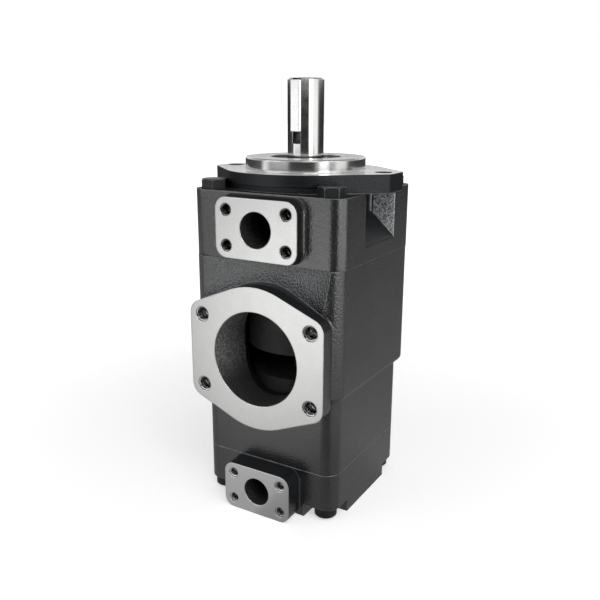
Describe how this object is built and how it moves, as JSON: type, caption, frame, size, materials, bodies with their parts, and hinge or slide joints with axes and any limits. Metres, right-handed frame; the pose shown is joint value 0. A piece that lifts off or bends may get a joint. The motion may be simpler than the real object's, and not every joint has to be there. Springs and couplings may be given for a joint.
{
  "type": "hydraulic vane pump",
  "caption": "Hydraulic vane pump in stacked cast housings, with a keyed drive shaft, a round pilot on an eared mounting flange, and flanged suction and pressure ports along its front.",
  "frame": {"origin": "centre of the mounting flange's machined face, on the shaft axis", "axes": "+Z along the drive shaft towards its free end, +X along the two mounting ears, the three ports face -Y"},
  "size_m": [0.211, 0.1886, 0.4532],
  "materials": {
    "cast_iron_paint": "satin black paint over cast iron, machined faces left bare",
    "black_screw": "painted or blackened steel",
    "seal_rubber": "matt",
    "bearing_steel": "ground",
    "brass": "turned",
    "spring_steel": "phosphated",
    "shaft_steel": "ground and polished",
    "plate_iron": "turned and lapped",
    "cartridge_steel": "ground"
  },
  "bodies": {
    "pump_body": {"front_cap": "cast_iron_paint", "centre_housing": "cast_iron_paint", "end_cap": "cast_iron_paint", "front_cap_screws": "black_screw", "end_cap_screws": "black_screw", "front_cap_seal": "seal_rubber", "end_cap_seal": "seal_rubber", "shaft_seal": "seal_rubber", "bearing_outer_race": "bearing_steel", "bearing_retaining_ring": "spring_steel", "front_pressure_plate": "plate_iron", "front_cam_ring": "cartridge_steel", "front_suction_plate": "plate_iron", "front_plate_bush": "brass", "front_neck_seal": "seal_rubber", "front_cartridge_screws": "black_screw", "front_dowel_pins": "bearing_steel", "rear_pressure_plate": "plate_iron", "rear_cam_ring": "cartridge_steel", "rear_suction_plate": "plate_iron", "rear_plate_bush": "brass", "rear_neck_seal": "seal_rubber", "rear_cartridge_screws": "black_screw", "rear_dowel_pins": "bearing_steel"},
    "drive_shaft": {"drive_shaft": "shaft_steel", "bearing_inner_race": "bearing_steel", "shaft_circlip": "spring_steel", "front_rotor": "cartridge_steel", "rear_rotor": "cartridge_steel"},
    "ball_cage": {"bearing_balls": "bearing_steel", "bearing_cage": "brass"},
    "front_vane_01": {"front_vane_01": "cartridge_steel"},
    "front_vane_02": {"front_vane_02": "cartridge_steel"},
    "front_vane_03": {"front_vane_03": "cartridge_steel"},
    "front_vane_04": {"front_vane_04": "cartridge_steel"},
    "front_vane_05": {"front_vane_05": "cartridge_steel"},
    "front_vane_06": {"front_vane_06": "cartridge_steel"},
    "front_vane_07": {"front_vane_07": "cartridge_steel"},
    "front_vane_08": {"front_vane_08": "cartridge_steel"},
    "front_vane_09": {"front_vane_09": "cartridge_steel"},
    "front_vane_10": {"front_vane_10": "cartridge_steel"},
    "rear_vane_01": {"rear_vane_01": "cartridge_steel"},
    "rear_vane_02": {"rear_vane_02": "cartridge_steel"},
    "rear_vane_03": {"rear_vane_03": "cartridge_steel"},
    "rear_vane_04": {"rear_vane_04": "cartridge_steel"},
    "rear_vane_05": {"rear_vane_05": "cartridge_steel"},
    "rear_vane_06": {"rear_vane_06": "cartridge_steel"},
    "rear_vane_07": {"rear_vane_07": "cartridge_steel"},
    "rear_vane_08": {"rear_vane_08": "cartridge_steel"},
    "rear_vane_09": {"rear_vane_09": "cartridge_steel"},
    "rear_vane_10": {"rear_vane_10": "cartridge_steel"}
  },
  "joints": [
    {"name": "shaft_spin", "type": "hinge", "parent": "pump_body", "child": "drive_shaft", "pos_m": [0, 0, 0], "axis": [0, 0, 1], "continuous": true},
    {"name": "ball_cage_spin", "type": "hinge", "parent": "pump_body", "child": "ball_cage", "pos_m": [0, 0, -0.009], "axis": [0, 0, 1], "continuous": true},
    {"name": "front_vane_01_slide", "type": "slide", "parent": "drive_shaft", "child": "front_vane_01", "axis": [1, 0, 0], "range_m": [0, 0.0054]},
    {"name": "front_vane_02_slide", "type": "slide", "parent": "drive_shaft", "child": "front_vane_02", "axis": [0.809, 0.5878, 0], "range_m": [0, 0.00348]},
    {"name": "front_vane_03_slide", "type": "slide", "parent": "drive_shaft", "child": "front_vane_03", "axis": [0.309, 0.9511, 0], "range_m": [0, 0.00081]},
    {"name": "front_vane_04_slide", "type": "slide", "parent": "drive_shaft", "child": "front_vane_04", "axis": [-0.309, 0.9511, 0], "range_m": [0, 0.00081]},
    {"name": "front_vane_05_slide", "type": "slide", "parent": "drive_shaft", "child": "front_vane_05", "axis": [-0.809, 0.5878, 0], "range_m": [0, 0.00348]},
    {"name": "front_vane_06_slide", "type": "slide", "parent": "drive_shaft", "child": "front_vane_06", "axis": [-1, 0, 0], "range_m": [0, 0.0054]},
    {"name": "front_vane_07_slide", "type": "slide", "parent": "drive_shaft", "child": "front_vane_07", "axis": [-0.809, -0.5878, 0], "range_m": [0, 0.00348]},
    {"name": "front_vane_08_slide", "type": "slide", "parent": "drive_shaft", "child": "front_vane_08", "axis": [-0.309, -0.9511, 0], "range_m": [0, 0.00081]},
    {"name": "front_vane_09_slide", "type": "slide", "parent": "drive_shaft", "child": "front_vane_09", "axis": [0.309, -0.9511, 0], "range_m": [0, 0.00081]},
    {"name": "front_vane_10_slide", "type": "slide", "parent": "drive_shaft", "child": "front_vane_10", "axis": [0.809, -0.5878, 0], "range_m": [0, 0.00348]},
    {"name": "rear_vane_01_slide", "type": "slide", "parent": "drive_shaft", "child": "rear_vane_01", "axis": [1, 0, 0], "range_m": [0, 0.0049]},
    {"name": "rear_vane_02_slide", "type": "slide", "parent": "drive_shaft", "child": "rear_vane_02", "axis": [0.809, 0.5878, 0], "range_m": [0, 0.00316]},
    {"name": "rear_vane_03_slide", "type": "slide", "parent": "drive_shaft", "child": "rear_vane_03", "axis": [0.309, 0.9511, 0], "range_m": [0, 0.000767]},
    {"name": "rear_vane_04_slide", "type": "slide", "parent": "drive_shaft", "child": "rear_vane_04", "axis": [-0.309, 0.9511, 0], "range_m": [0, 0.000767]},
    {"name": "rear_vane_05_slide", "type": "slide", "parent": "drive_shaft", "child": "rear_vane_05", "axis": [-0.809, 0.5878, 0], "range_m": [0, 0.00316]},
    {"name": "rear_vane_06_slide", "type": "slide", "parent": "drive_shaft", "child": "rear_vane_06", "axis": [-1, 0, 0], "range_m": [0, 0.0049]},
    {"name": "rear_vane_07_slide", "type": "slide", "parent": "drive_shaft", "child": "rear_vane_07", "axis": [-0.809, -0.5878, 0], "range_m": [0, 0.00316]},
    {"name": "rear_vane_08_slide", "type": "slide", "parent": "drive_shaft", "child": "rear_vane_08", "axis": [-0.309, -0.9511, 0], "range_m": [0, 0.000767]},
    {"name": "rear_vane_09_slide", "type": "slide", "parent": "drive_shaft", "child": "rear_vane_09", "axis": [0.309, -0.9511, 0], "range_m": [0, 0.000767]},
    {"name": "rear_vane_10_slide", "type": "slide", "parent": "drive_shaft", "child": "rear_vane_10", "axis": [0.809, -0.5878, 0], "range_m": [0, 0.00316]}
  ],
  "couplings": [
    {"joint": "ball_cage_spin", "follows": "shaft_spin", "ratio": 0.42685}
  ]
}
